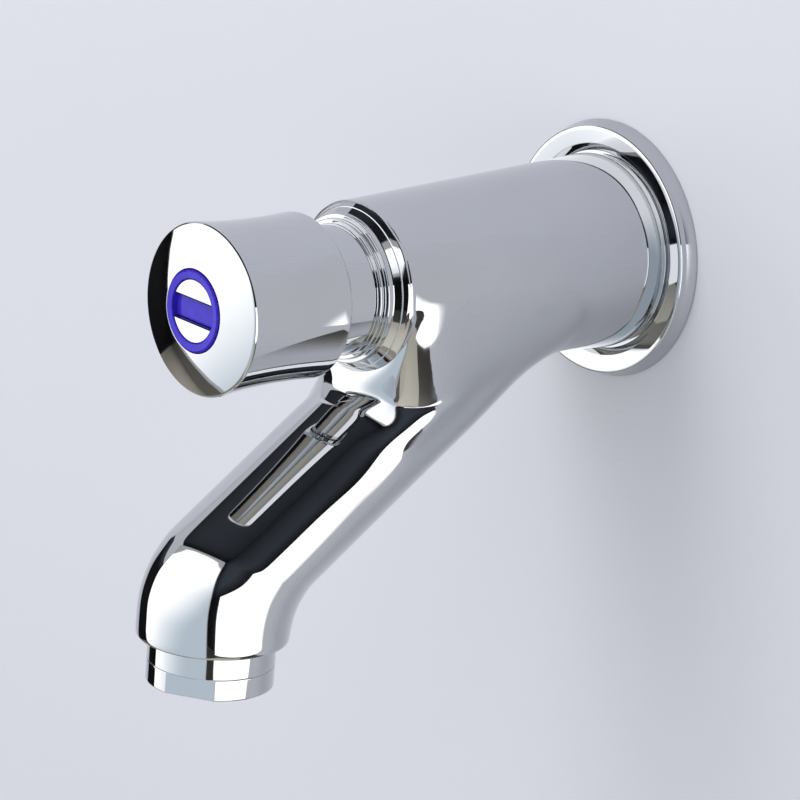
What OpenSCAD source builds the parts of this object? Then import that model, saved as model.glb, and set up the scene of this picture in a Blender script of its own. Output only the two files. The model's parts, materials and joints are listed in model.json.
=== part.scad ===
// Push timed tap for a wall: the button is pushed toward the wall, water runs, a damped spring closes it.
// Millimetres. The origin is where the inlet's axis meets the wall, -Y points into the room and +Z up.
// Turned pieces are drawn as (radius, projection from the wall) and laid along -Y.

/* [Wall flange] */
// Outer diameter of the cover plate
flange_d = 50.4; // [46:0.2:60]
// Height of the plate's straight outer edge
flange_edge = 1.2; // [0.6:0.1:1.6]
// Width of the bevel inside that edge
flange_bevel = 1.5; // [0.8:0.1:2]
// Sheet thickness of the plate
flange_t = 1.2; // [0.8:0.1:1.4]
// Distance from the wall to the barrel's rear face
flange_lift = 3; // [2.8:0.1:5]
// Height of the collar that stands up round the barrel
collar_h = 1.2; // [0.6:0.1:2.4]
// Width of the collar's bevel
collar_w = 1.3; // [0.8:0.1:2]

/* [Inlet] */
// Outer diameter of the G1/2 inlet thread
inlet_d = 20.955; // [20:0.005:21.5]
// Length of inlet thread behind the wall
inlet_out = 16; // [13:0.5:24]
// Outer diameter of the nipple's thread in the barrel
inlet_in_d = 20.4; // [19.6:0.1:20.8]
// Length of inlet thread screwed into the barrel
inlet_in = 8; // [6:0.5:10]
// Diameter of the inlet's waterway
inlet_bore_d = 15; // [14:0.1:16]
// Thickness of the ledge in front of the nipple
ledge_t = 1; // [0.8:0.1:2]
// Length of the strainer thimble
strainer_len = 11; // [8:0.5:12]
// Wall of the strainer thimble
strainer_t = 0.6; // [0.4:0.1:0.8]
// Width of a strainer slot
strainer_slot = 1; // [0.6:0.1:1.4]

/* [Barrel] */
// Length of the barrel from its rear face to its front rim
barrel_len = 62; // [60:0.5:72]
// Diameter at the rear face
barrel_back_d = 37.9; // [36:0.1:40]
// Diameter behind the front rim
barrel_front_d = 32.3; // [31.8:0.1:35]
// Rounding of the front rim
rim_round = 1.2; // [0.6:0.1:1.4]

/* [Spout] */
// Slope of the spout below level, in degrees
spout_slope = 34.75; // [32:0.25:37]
// Distance from the wall at which the spout's axis meets the barrel's axis
spout_root = 15.6; // [14:0.1:18]
// Half of the spout's width
spout_half_w = 13.8; // [13:0.1:14.2]
// Half of the spout's height, square to its slope
spout_half_h = 12.15; // [11.6:0.05:12.8]
// Distance from the wall to the outlet's axis
outlet_reach = 92.5; // [88:0.5:110]
// Radius of the bend over the nose
bend_r = 20; // [16:0.5:26]
// Straight length from the bend to the lip
nose_len = 4.8; // [3.6:0.1:8]
// Lean of the nose's rear side at the lip, in degrees
nose_lean = 8; // [4:0.5:12]
// Outer diameter of the lip
lip_d = 28.8; // [28:0.1:31]
// Rounding of the lip's outer edge
lip_round = 0.9; // [0.4:0.1:1.2]
// Radius of the throat between the barrel's rim and the spout's top
throat_r = 9; // [6:0.5:11]
// Radius under the barrel where the spout's underside leaves it
heel_r = 9; // [5:0.5:12]
// Widening of the spout at its root, on each side
root_flare = 0.7; // [0.3:0.1:0.9]
// Diameter of the waterway in the spout
waterway_d = 15.2; // [13:0.1:16]
// Diameter of the waterway that drops to the outlet
drop_bore_d = 16.8; // [16.4:0.1:18]

/* [Cartridge] */
// Outer diameter of the cartridge sleeve
sleeve_d = 22.8; // [22.4:0.1:23.6]
// Bore of the cartridge sleeve
sleeve_bore_d = 18; // [17.6:0.1:18.4]
// Diameter of the chamber round the sleeve
chamber_d = 26; // [25:0.1:26.4]
// Length of the sealed seat at the sleeve's rear end
seal_len = 7; // [6:0.1:8]
// Width of a port in the sleeve
port_w = 5; // [3:0.1:6]
// Number of ports
port_count = 6; // [4:1:7]
// Thickness of the valve seat
seat_t = 4; // [3:0.1:5]
// Bore of the valve seat
seat_bore_d = 8.4; // [8:0.1:9.4]
// Cross section of the sleeve's O-ring
sleeve_ring_t = 1.44; // [1.2:0.02:1.6]

/* [Bonnet] */
// Outer diameter of the bonnet's thread
bonnet_d = 26.9; // [26.6:0.1:27.4]
// Length of the bonnet's thread
bonnet_len = 15.5; // [14:0.1:17]
// Largest diameter of the stepped collar
bonnet_collar_d = 29.6; // [29:0.1:30]
// Height of each of the collar's three steps
collar_step_h = 1.2; // [0.8:0.1:1.6]
// Diameter of the neck that the button slides over
neck_d = 24.6; // [23:0.1:25.2]
// Bore of the hollow neck
neck_bore_d = 16; // [15:0.1:17.5]
// Thickness of the gland wall behind the neck
gland_t = 8.5; // [7:0.1:10]
// Cross section of the bonnet's O-ring
bonnet_ring_t = 1.4; // [1.1:0.02:1.6]
// Cross section of the stem's seal
stem_ring_t = 2.1; // [1.6:0.02:2.4]
// Length of the stem's guide bush
bush_len = 8; // [5:0.1:10]
// Thickness of the circlip that holds the bush
circlip_t = 1; // [0.8:0.1:1.4]

/* [Button] */
// Diameter of the button at its front rim
button_d = 31.6; // [31:0.1:34]
// Diameter of the button at its skirt
skirt_d = 31; // [30:0.1:33]
// How far the sides draw in between skirt and rim
waist_draw = 0.48; // [0:0.02:0.7]
// Length of the button from skirt to rim
button_len = 22.7; // [21:0.1:28]
// Height of the domed face
dome_h = 2.5; // [2:0.1:3.5]
// Wall of the button behind its face
button_wall = 2.2; // [1.8:0.1:2.4]
// Web that the stem's nut clamps
cap_web = 2.2; // [1.6:0.1:3]
// How far the button travels when pushed
push_travel = 7; // [5:0.1:8.5]
// Gap left between button and collar when pushed
stop_gap = 1.5; // [0.8:0.1:3]

/* [Dial and index] */
// Outer diameter of the blue ring
dial_d = 15.4; // [15:0.1:16.4]
// Diameter of the chrome centre
land_d = 11.8; // [11:0.1:12.4]
// Width of the blue bar across the centre
bar_w = 4.4; // [3:0.1:5.4]
// Depth of the bar below the chrome lands
bar_deep = 0.9; // [0.5:0.1:1.2]
// Thickness of the dial from its back to its face
dial_t = 4.3; // [4:0.1:5]
// Thickness of the dial's base disc
dial_base_t = 1.8; // [1.6:0.1:2]
// How far the dial stands out of the domed face
dial_proud = 0.2; // [0:0.05:0.5]
// Length of the dial's hollow shank
shank_len = 8; // [6:0.1:10]

/* [Stem and piston] */
// Diameter of the stem in its bush
stem_d = 8; // [7.6:0.1:8.4]
// Diameter of the stem through the valve seat
stem_rear_d = 5.6; // [5.2:0.1:6]
// Bore of the hollow stem
stem_bore_d = 3.8; // [3.6:0.05:4]
// Thread diameter at the stem's button end
stem_front_d = 6.8; // [6.4:0.1:7.2]
// Thread diameter at the stem's valve end
stem_tail_d = 4; // [3.6:0.1:4.4]
// Thickness of the nut under the dial
cap_nut_t = 2.8; // [2:0.1:3.2]
// Width across that nut's flats
cap_nut_af = 10; // [9:0.1:11]
// Outer diameter of the piston
piston_d = 17.4; // [17:0.1:17.5]
// Length of the piston
piston_len = 6; // [5:0.1:8]
// Space in front of the piston at rest
dash_gap = 1.5; // [1:0.1:3]
// Thickness of the clip behind the piston
piston_clip_t = 1; // [0.8:0.1:1.2]
// Diameter of the valve disc
disc_d = 11.6; // [11:0.1:12]
// Thickness of the valve disc
disc_t = 3; // [2:0.1:3.4]
// Thickness of the washer behind the disc
washer_t = 1.4; // [0.8:0.1:1.6]
// Thickness of the valve nut
valve_nut_t = 3; // [2:0.1:3.2]
// Width across the valve nut's flats
valve_nut_af = 8; // [7:0.1:9]
// Diameter of the metering needle
needle_d = 2.2; // [2:0.05:2.4]
// Diameter of the metering hole
orifice_d = 1.4; // [1.2:0.05:1.6]
// Diameter of the pin that keys the needle to the dial
key_pin_d = 1; // [0.8:0.05:1.1]
// Depth of the needle's off-centre groove on its deep side
groove_deep = 0.6; // [0.4:0.02:0.7]

/* [Return spring] */
// Wire diameter
wire_d = 1.3; // [1:0.05:1.5]
// Mean diameter of the coil
coil_d = 13.2; // [12.8:0.1:14]
// Number of turns
coil_turns = 7; // [5:0.5:8]

/* [Aerator] */
// Outer diameter of the aerator's housing and thread
aerator_d = 24; // [23:0.1:24.4]
// Length of the housing below the lip
aerator_show = 8.6; // [7:0.1:12]
// Length of the housing screwed into the nose
aerator_in = 8; // [6:0.1:8.4]
// Wall of the housing
aerator_wall = 1.8; // [1.4:0.1:2.2]
// Width of the ledge that carries the insert
aerator_ledge = 0.9; // [0.6:0.1:1.4]
// Width across the spanner flats
flats_af = 22; // [21:0.1:22.6]
// Height of the spanner flats
flats_h = 4; // [3:0.1:5]
// Turn of the flats about the outlet's axis, in degrees
flats_turn = 32.3; // [0:0.1:60]
// Thickness of the flat washer over the housing
aerator_washer_t = 1.2; // [0.8:0.1:1.4]
// Length of the jet former
insert_len = 14; // [12:0.1:15]
// Diameter of a jet
jet_d = 2.2; // [1.4:0.1:2.6]
// Thickness of the mesh screen
screen_t = 0.5; // [0.3:0.1:0.8]
// Pitch of the screen's mesh
mesh_pitch = 2; // [1.6:0.1:2.6]
// Width of a gap in the mesh
mesh_gap = 1.3; // [0.8:0.1:1.4]

/* [Clearances] */
// Radial clearance of sliding and turning fits
run_clear = 0.06; // [0.02:0.01:0.08]
// Radial clearance of threads and seated rings
seat_clear = 0.05; // [0.02:0.01:0.06]
// Clearance between pieces that must not touch
free_clear = 0.3; // [0.2:0.05:0.35]
// Radial gap between the button's skirt and the neck that it slides over
skirt_gap = 0.52; // [0.3:0.02:0.8]

/* [Hidden] */
$fn = 96;
eps = 0.01;

// Small edge breaks and thread leads
edge_break = 0.4;
thread_lead = 0.8;
// How far the bonnet's O-ring lies behind the barrel's front rim
ring_inset = 0.6;
// Wall left round the dial's recess
boss_wall = 1.6;
// Depth of the clip grooves
clip_groove = 0.5;

chrome = [0.78, 0.79, 0.82];
brass = [0.80, 0.66, 0.36];
steel = [0.62, 0.63, 0.65];
rubber = [0.13, 0.13, 0.14];
acetal = [0.90, 0.89, 0.85];
index_blue = [0.16, 0.14, 0.62];

// Places along the barrel, counted from the wall
body_back = flange_lift;
body_front = body_back + barrel_len;
seat_ledge = body_back + inlet_in + ledge_t;
seal_front = seat_ledge + seal_len;
bonnet_back = body_front - bonnet_len;
cavity_floor = bonnet_back + gland_t;
bush_front = cavity_floor + bush_len;
collar_front = body_front + 3 * collar_step_h;
button_back = collar_front + push_travel + stop_gap;
button_rim = button_back + button_len;
button_top = button_rim + dome_h;

// The domed face is part of a ball
button_r = button_d / 2;
dome_r = (button_r * button_r + dome_h * dome_h) / (2 * dome_h);
function dome_drop(r) = dome_r - sqrt(dome_r * dome_r - r * r);

// Dial, nut and boss are stacked back from the face
dial_r = dial_d / 2;
dial_front = button_top - dome_drop(dial_r) + dial_proud;
dial_back = dial_front - dial_t;
nut_room = 0.8;
recess_floor = dial_back - nut_room - cap_nut_t;
boss_back = recess_floor - cap_web;
boss_gap = 0.8;
neck_front = boss_back - push_travel - boss_gap;
recess_r = dial_r + run_clear;

// Stem, piston and valve
stem_r = stem_d / 2;
piston_front = bonnet_back - dash_gap;
piston_back = piston_front - piston_len;
disc_gap = 0.1;
disc_front = seat_ledge - disc_gap;
disc_back = disc_front - disc_t;
washer_back = disc_back - washer_t;
valve_nut_back = washer_back - valve_nut_t;
tail_end = valve_nut_back - 0.6;
stem_end = recess_floor + cap_nut_t + free_clear;
seat_front = seat_ledge + seat_t;
orifice_front = piston_back + piston_len * 2 / 3;
narrow_front = cavity_floor;
narrow_r = needle_d / 2 + run_clear;
drill_r = orifice_d / 2;
drain_p = piston_back - piston_clip_t - 2 * drill_r;
bleed_p = piston_front + dash_gap / 2;
bleed_r = dash_gap / 3;
key_p = dial_back - shank_len / 2;
needle_seal_p = narrow_front + stem_bore_d;

// Outlet, worked out from the slope, the reach and the bend
lip_r = lip_d / 2;
front_r = barrel_front_d / 2;
back_r = barrel_back_d / 2;
slope_rise = tan(spout_slope);
edge_shift = spout_half_h / cos(spout_slope);
bend_tangent = bend_r * tan((90 - spout_slope) / 2);
function top_z(p) = edge_shift - (p - spout_root) * slope_rise;
function under_z(p) = -edge_shift - (p - spout_root) * slope_rise;
nose_front = outlet_reach + lip_r;
nose_back = outlet_reach - lip_r;
bend_end_z = top_z(nose_front) - bend_tangent;
outlet_z = bend_end_z - nose_len;
elbow_z = -(outlet_reach - spout_root) * slope_rise;
aerator_top = outlet_z + aerator_in;
aerator_bottom = outlet_z - aerator_show;
nose_bore_top = aerator_top + aerator_washer_t;

// Revolves an outline of (radius, projection) points about the barrel's axis
module turned(outline) {
    rotate([90, 0, 0])
        rotate_extrude()
            polygon(outline);
}

// Round bar along the barrel's axis between two projections
module rod(r, from, to) {
    translate([0, -from, 0])
        rotate([90, 0, 0])
            cylinder(r = r, h = to - from);
}

module tube(r_out, r_in, from, to) {
    difference() {
        rod(r_out, from, to);
        rod(r_in, from - 1, to + 1);
    }
}

// O-ring about the barrel's axis
module o_ring(r_mid, thick, at) {
    rotate([90, 0, 0])
        rotate_extrude()
            translate([r_mid, at])
                circle(d = thick, $fn = 32);
}

module hex_nut(af, bore_r, from, to) {
    difference() {
        translate([0, -from, 0])
            rotate([90, 0, 0])
                cylinder(d = af / cos(30), h = to - from, $fn = 6);
        rod(bore_r, from - 1, to + 1);
    }
}

// Round bar along the outlet's axis between two heights
module drop_rod(r, low, high) {
    translate([0, -outlet_reach, low])
        cylinder(r = r, h = high - low);
}

// Spout outlines, as (projection, height) points. Each is an arc, a straight run and another arc.
root_steps = 6;
run_steps = 4;
turn_steps = 12;
lip_steps = 3;
sides = 40;
throat_p = body_front - rim_round;
throat_tangent = throat_r * tan((90 - spout_slope) / 2);
throat_c = [throat_p + throat_r, top_z(throat_p) + throat_tangent];
taper = (back_r - front_r) / barrel_len;
heel_p = (back_r - edge_shift + spout_root * slope_rise + taper * body_back) / (slope_rise + taper);
heel_z = under_z(heel_p);
heel_c = [heel_p - heel_r * tan(spout_slope / 2), heel_z - heel_r];
bend_c = [nose_front - bend_r, bend_end_z];
nose_turn = 90 - nose_lean - spout_slope;
lip_z = outlet_z + lip_round;
under_bend_r = (under_z(nose_back) - lip_z) * cos(spout_slope) / (1 - cos(nose_turn));
under_c = [nose_back, lip_z] - under_bend_r * [cos(nose_lean), sin(nose_lean)];

function on_arc(c, r, a) = c + r * [sin(a), cos(a)];
function mix(a, b, t) = a + (b - a) * t;
function ease(t) = t * t * (3 - 2 * t);

bend_len = bend_r * (90 - spout_slope) * PI / 180;
nose_straight = bend_end_z - lip_z;
function top_turn(s) = s < bend_len
    ? on_arc(bend_c, bend_r, spout_slope + (90 - spout_slope) * s / bend_len)
    : [nose_front, bend_end_z - (s - bend_len)];

top_root = [for (i = [0:root_steps]) on_arc(throat_c, -throat_r, mix(90, spout_slope, i / root_steps))];
under_root = [for (i = [0:root_steps]) on_arc(heel_c, heel_r, mix(0, spout_slope, i / root_steps))];
top_bend = [for (i = [0:turn_steps]) top_turn((bend_len + nose_straight) * i / turn_steps)];
under_bend = [for (i = [0:turn_steps])
    on_arc(under_c, under_bend_r, spout_slope + nose_turn * i / turn_steps)];

// A ring of points from a top point, an underside point and a half width
function ring(top, under, half_w) = [for (k = [0:sides - 1])
    let (a = 360 * k / sides, q = mix(under, top, (1 + sin(a)) / 2))
        [half_w * cos(a), -q[0], q[1]]];

function lip_ring(a) = ring(
    [nose_front - lip_round * (1 - cos(a)), lip_z - lip_round * sin(a)],
    [nose_back + lip_round * (1 - cos(a)), lip_z - lip_round * sin(a)],
    lip_r - lip_round * (1 - cos(a)));

root_z = -front_r * 0.4;
root_half_w = spout_half_w + root_flare;
spout_rings = concat(
    [ring([throat_p, root_z], [heel_c[0], root_z], spout_half_w)],
    [for (i = [0:root_steps])
        ring(top_root[i], under_root[i], mix(root_half_w, spout_half_w, ease(i / root_steps)))],
    [for (i = [1:run_steps])
        ring(mix(top_root[root_steps], top_bend[0], i / (run_steps + 1)),
            mix(under_root[root_steps], under_bend[0], i / (run_steps + 1)), spout_half_w)],
    [for (i = [0:turn_steps])
        ring(top_bend[i], under_bend[i], mix(spout_half_w, lip_r, ease(i / turn_steps)))],
    [for (i = [1:lip_steps]) lip_ring(90 * i / lip_steps)]
);

// Skins a list of rings with triangles and closes both ends
module skin(rings) {
    count = len(rings);
    size = len(rings[0]);
    polyhedron(
        points = [for (one = rings) each one],
        faces = concat(
            [[for (k = [0:size - 1]) k]],
            [[for (k = [size - 1:-1:0]) (count - 1) * size + k]],
            [for (j = [0:count - 2], k = [0:size - 1])
                [j * size + k, (j + 1) * size + k, (j + 1) * size + (k + 1) % size]],
            [for (j = [0:count - 2], k = [0:size - 1])
                [j * size + k, (j + 1) * size + (k + 1) % size, j * size + (k + 1) % size]]
        )
    );
}

module body_casting() color(chrome) {
    inlet_r = inlet_in_d / 2 + seat_clear;
    bonnet_r = bonnet_d / 2 + seat_clear;
    way_start = chamber_d / 4 / sin(spout_slope);
    way_len = (outlet_reach - spout_root) / cos(spout_slope);
    difference() {
        union() {
            turned([
                [0, body_back], [back_r - edge_break, body_back], [back_r, body_back + edge_break],
                [front_r, body_front - rim_round], [front_r - rim_round * 0.3, body_front - rim_round * 0.3],
                [front_r - rim_round, body_front], [0, body_front]
            ]);
            skin(spout_rings);
        }
        rod(inlet_r, body_back - 1, body_back + inlet_in);
        rod(inlet_bore_d / 2, body_back, seat_ledge + 1);
        rod(sleeve_d / 2 + run_clear, seat_ledge, seal_front + 1);
        rod(chamber_d / 2, seal_front, bonnet_back + 1);
        rod(bonnet_r, bonnet_back, body_front + 1);
        translate([0, -spout_root, 0])
            rotate([90 + spout_slope, 0, 0])
                translate([0, 0, way_start])
                    cylinder(d = waterway_d, h = way_len - way_start);
        drop_rod(drop_bore_d / 2, nose_bore_top - 1, elbow_z + waterway_d / 4);
        drop_rod(aerator_d / 2 + seat_clear, outlet_z - 1, nose_bore_top);
    }
}

module wall_flange() color(chrome) {
    r = flange_d / 2;
    seat_r = back_r + seat_clear;
    web_back = flange_lift - flange_t;
    collar_top = flange_lift + collar_h;
    foot_r = seat_r + collar_w;
    bevel_top = flange_edge + flange_bevel / 2;
    turned([
        [inlet_d / 2 + free_clear, web_back], [inlet_d / 2 + free_clear, flange_lift],
        [seat_r, flange_lift], [seat_r, collar_top], [seat_r + edge_break / 2, collar_top],
        [foot_r, flange_lift],
        [r - flange_bevel, bevel_top], [r, flange_edge], [r, 0], [r - flange_t, 0],
        [r - flange_t, flange_edge / 2], [foot_r, web_back]
    ]);
}

module flange_gasket() color(rubber)
    tube(back_r, inlet_d / 2 + free_clear, 0, flange_lift - flange_t);

module inlet_nipple() color(brass) {
    r = inlet_d / 2;
    bore_r = inlet_bore_d / 2;
    turned([
        [bore_r, -inlet_out], [r - thread_lead, -inlet_out], [r, thread_lead - inlet_out], [r, 0],
        [inlet_in_d / 2, 0], [inlet_in_d / 2, body_back + inlet_in], [bore_r, body_back + inlet_in]
    ]);
}

module inlet_strainer() color(steel) {
    r_out = inlet_bore_d / 2 - seat_clear;
    r_in = r_out - strainer_t;
    slots = 8;
    difference() {
        rod(r_out, -inlet_out, strainer_len - inlet_out);
        rod(r_in, -inlet_out - 1, strainer_len - inlet_out - strainer_t);
        for (i = [0:slots - 1])
            rotate([0, 360 * i / slots, 0])
                translate([r_in - 1, inlet_out - strainer_len * 0.8, -strainer_slot / 2])
                    cube([strainer_t + 2, strainer_len * 0.6, strainer_slot]);
        for (x = [-2:2])
            translate([(x * 2 - 0.5) * strainer_slot, inlet_out - strainer_len - 1, -r_in / 2])
                cube([strainer_slot, strainer_t + 2, r_in]);
    }
}

module bonnet() color(chrome) {
    r = bonnet_d / 2;
    step = (bonnet_collar_d - neck_d) / 2 / 3;
    neck_r = neck_d / 2;
    bore_r = neck_bore_d / 2;
    guide_r = stem_r + run_clear;
    ring_front = body_front - ring_inset;
    ring_back = ring_front - bonnet_ring_t - 2 * seat_clear;
    ring_floor = r + seat_clear - bonnet_ring_t;
    gland_mid = bonnet_back + gland_t / 2;
    gland_half = stem_ring_t / 2 + seat_clear;
    gland_r = guide_r + stem_ring_t;
    clip_r = bore_r + clip_groove;
    turned([
        [guide_r, bonnet_back], [r, bonnet_back], [r, ring_back], [ring_floor, ring_back],
        [ring_floor, ring_front], [r, ring_front], [r, body_front], [neck_r + 3 * step, body_front],
        [neck_r + 3 * step, body_front + collar_step_h], [neck_r + 2 * step, body_front + collar_step_h],
        [neck_r + 2 * step, body_front + 2 * collar_step_h], [neck_r + step, body_front + 2 * collar_step_h],
        [neck_r + step, collar_front], [neck_r, collar_front], [neck_r, neck_front - edge_break],
        [neck_r - edge_break, neck_front], [bore_r, neck_front], [bore_r, bush_front + circlip_t],
        [clip_r, bush_front + circlip_t], [clip_r, bush_front], [bore_r, bush_front],
        [bore_r, cavity_floor], [guide_r, cavity_floor], [guide_r, gland_mid + gland_half],
        [gland_r, gland_mid + gland_half], [gland_r, gland_mid - gland_half],
        [guide_r, gland_mid - gland_half]
    ]);
}

module bonnet_o_ring() color(rubber)
    o_ring(bonnet_d / 2 + seat_clear - bonnet_ring_t / 2, bonnet_ring_t - seat_clear,
        body_front - ring_inset - bonnet_ring_t / 2 - seat_clear);

sleeve_ring_at = seat_ledge + seal_len / 2;

module cartridge_sleeve() color(brass) {
    port_back = seal_front + 1;
    port_front = piston_back - push_travel - 1;
    r = sleeve_d / 2;
    groove_half = sleeve_ring_t / 2 + seat_clear;
    groove_r = r + run_clear - sleeve_ring_t;
    difference() {
        tube(r, sleeve_bore_d / 2, seat_ledge, bonnet_back);
        tube(r + 1, groove_r, sleeve_ring_at - groove_half, sleeve_ring_at + groove_half);
        for (i = [0:port_count - 1])
            rotate([0, 360 * i / port_count, 0])
                translate([0, -port_front, -port_w / 2])
                    cube([r + 1, port_front - port_back, port_w]);
    }
}

module sleeve_o_ring() color(rubber)
    o_ring(sleeve_d / 2 + run_clear - sleeve_ring_t / 2, sleeve_ring_t - seat_clear, sleeve_ring_at);

module valve_seat() color(brass)
    tube(sleeve_bore_d / 2 - seat_clear, seat_bore_d / 2, seat_ledge, seat_front);

// Spring wire: one tube of 6 sides, 8 rings a turn
wire_sides = 6;
turn_rings = 8;
wire_r = wire_d / 2;
coil_from = seat_front + wire_r + 0.05;
coil_to = piston_back - wire_r - 0.05;
coil_pitch = (coil_to - coil_from) / coil_turns;
function coil_point(t) = [coil_d / 2 * cos(360 * t), -coil_from - coil_pitch * t, coil_d / 2 * sin(360 * t)];
function wire_ring(t) = [for (k = [0:wire_sides - 1])
    let (a = 360 * k / wire_sides, r = coil_d / 2 + wire_r * cos(a))
        [r * cos(360 * t), -coil_from - coil_pitch * t - wire_r * sin(a), r * sin(360 * t)]];
coil_count = coil_turns * turn_rings;
coil_gap = min([for (i = [0:turn_rings]) norm(coil_point(i / turn_rings + 1) - coil_point(i / turn_rings))])
    - wire_d;
echo(spring_gap_at_rest = coil_gap, spring_gap_pushed = coil_gap - push_travel / coil_turns);

module return_spring() color(steel)
    skin([for (i = [0:coil_count]) wire_ring(i / turn_rings)]);

module guide_bush() color(acetal)
    tube(neck_bore_d / 2 - seat_clear, stem_r + run_clear, cavity_floor, bush_front);

module stem_seal() color(rubber)
    o_ring(stem_r + run_clear + stem_ring_t / 2, stem_ring_t - seat_clear, bonnet_back + gland_t / 2);

module gland_circlip() color(steel) {
    r_out = neck_bore_d / 2 + clip_groove - seat_clear;
    r_in = r_out - 2.4 * circlip_t;
    difference() {
        tube(r_out, r_in, bush_front + seat_clear, bush_front + circlip_t - seat_clear);
        translate([-r_in * 0.4, -bush_front - circlip_t - 1, 0])
            cube([r_in * 0.8, circlip_t + 2, r_out + 1]);
    }
}

housing_r = aerator_d / 2;
housing_bore_r = housing_r - aerator_wall;
insert_low = aerator_top - screen_t - insert_len;

module aerator_housing() color(chrome) {
    difference() {
        drop_rod(housing_r, aerator_bottom, aerator_top);
        drop_rod(housing_bore_r, insert_low, aerator_top + 1);
        drop_rod(housing_bore_r - aerator_ledge, aerator_bottom - 1, insert_low + 1);
        for (turn = [flats_turn, flats_turn + 180])
            translate([0, -outlet_reach, aerator_bottom])
                rotate([0, 0, turn])
                    translate([-housing_r, -flats_af / 2 - housing_r, -1])
                        cube([2 * housing_r, housing_r, flats_h + 1]);
    }
}

module aerator_washer() color(rubber)
    difference() {
        drop_rod(housing_r - seat_clear, aerator_top, nose_bore_top);
        drop_rod(max(drop_bore_d / 2, housing_bore_r - aerator_ledge), aerator_top - 1, nose_bore_top + 1);
    }

// Jets stand in rings of 1, 6 and 12
module aerator_insert() color(acetal) {
    jet_rings = 2;
    r = housing_bore_r - seat_clear;
    ring_step = (r - jet_d) / jet_rings;
    difference() {
        drop_rod(r, insert_low, insert_low + insert_len);
        translate([0, -outlet_reach, insert_low - 1])
            for (j = [0:jet_rings], i = [0:max(6 * j - 1, 0)])
                rotate([0, 0, 360 * i / max(6 * j, 1)])
                    translate([j * ring_step, 0, 0])
                        cylinder(d = jet_d, h = insert_len + 2, $fn = 24);
    }
}

module aerator_screen() color(steel) {
    r = housing_bore_r - seat_clear;
    half = floor((r - mesh_gap) / mesh_pitch);
    translate([0, -outlet_reach, aerator_top - screen_t])
        linear_extrude(screen_t)
            difference() {
                circle(r);
                for (i = [-half:half], j = [-half:half])
                    if (norm([abs(i), abs(j)]) * mesh_pitch + mesh_gap < r)
                        translate([i * mesh_pitch, j * mesh_pitch])
                            square(mesh_gap, center = true);
            }
}

// Side of the button at a share t of the way from skirt to rim
function button_side(t) = mix(skirt_d / 2, button_r, t) - 4 * waist_draw * t * (1 - t);
side_steps = 6;
dome_steps = 4;

module button_cap() color(chrome) {
    boss_r = recess_r + boss_wall;
    inner_r = neck_d / 2 + skirt_gap;
    roof = button_rim - button_wall;
    difference() {
        turned(concat(
            [[0, button_back], [skirt_d / 2 - edge_break, button_back]],
            [for (i = [0:side_steps])
                [button_side(i / side_steps), mix(button_back + edge_break, button_rim, i / side_steps)]],
            [for (i = [dome_steps - 1:-1:0])
                let (r = button_r * i / dome_steps) [r, button_top - dome_drop(r)]]
        ));
        difference() {
            rod(inner_r, button_back - 1, roof);
            rod(boss_r, boss_back, roof + 1);
        }
        rod(stem_front_d / 2 + seat_clear, boss_back - 1, recess_floor + 1);
        rod(recess_r, recess_floor, button_top + 1);
    }
}

module button_stem() color(brass) {
    rear_r = stem_rear_d / 2;
    tail_r = stem_tail_d / 2;
    clip_r = rear_r - clip_groove;
    difference() {
        turned([
            [0, tail_end], [tail_r, tail_end], [tail_r, disc_front], [rear_r, disc_front],
            [rear_r, piston_back - piston_clip_t], [clip_r, piston_back - piston_clip_t],
            [clip_r, piston_back], [rear_r, piston_back], [rear_r, piston_front], [stem_r, piston_front],
            [stem_r, boss_back], [stem_front_d / 2, boss_back], [stem_front_d / 2, stem_end], [0, stem_end]
        ]);
        rod(stem_bore_d / 2, narrow_front, stem_end + 1);
        rod(narrow_r, orifice_front, narrow_front + 1);
        rod(drill_r, drain_p - drill_r, orifice_front + 1);
        translate([0, -drain_p, 0])
            cylinder(r = drill_r, h = stem_d, center = true);
        translate([0, -bleed_p, 0])
            cylinder(r = bleed_r, h = stem_d);
    }
}

module cap_nut() color(brass)
    hex_nut(cap_nut_af, stem_front_d / 2 + seat_clear, recess_floor, recess_floor + cap_nut_t);

seal_room = piston_len / 2;
seal_floor_r = sleeve_bore_d / 2 - 2.2;

module piston() color(brass) {
    r = piston_d / 2;
    bore_r = stem_rear_d / 2 + seat_clear;
    groove_back = piston_back + (piston_len - seal_room) / 2;
    turned([
        [bore_r, piston_back], [r, piston_back], [r, groove_back], [seal_floor_r, groove_back],
        [seal_floor_r, groove_back + seal_room], [r, groove_back + seal_room], [r, piston_front],
        [bore_r, piston_front]
    ]);
}

// Lip seal: a ring whose outer lip leans out toward the front
module piston_seal() color(rubber) {
    back = piston_back + (piston_len - seal_room) / 2 + seat_clear;
    front = back + seal_room - 2 * seat_clear;
    mid = mix(back, front, 0.4);
    r_in = seal_floor_r + seat_clear;
    r_lip = sleeve_bore_d / 2 - run_clear;
    r_low = r_lip - 0.4;
    turned([
        [r_in, back], [r_low, back], [r_lip, front], [r_lip - 0.7, front], [mix(r_in, r_lip, 0.5), mid],
        [r_in + 0.7, front], [r_in, front]
    ]);
}

module piston_clip() color(steel) {
    r_in = stem_rear_d / 2 - clip_groove + seat_clear;
    r_out = stem_rear_d / 2 + 1.8;
    difference() {
        tube(r_out, r_in, piston_back - piston_clip_t + seat_clear, piston_back - seat_clear);
        translate([-r_in * 0.8, -piston_back - 1, -r_out - 1])
            cube([r_in * 1.6, piston_clip_t + 2, r_out + 1]);
    }
}

module valve_disc() color(rubber)
    tube(disc_d / 2, stem_tail_d / 2 + seat_clear, disc_back, disc_front);

module valve_washer() color(brass)
    tube(disc_d / 2 - 0.6, stem_tail_d / 2 + seat_clear, washer_back, disc_back);

module valve_nut() color(brass)
    hex_nut(valve_nut_af, stem_tail_d / 2 + seat_clear, valve_nut_back, washer_back);

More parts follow.
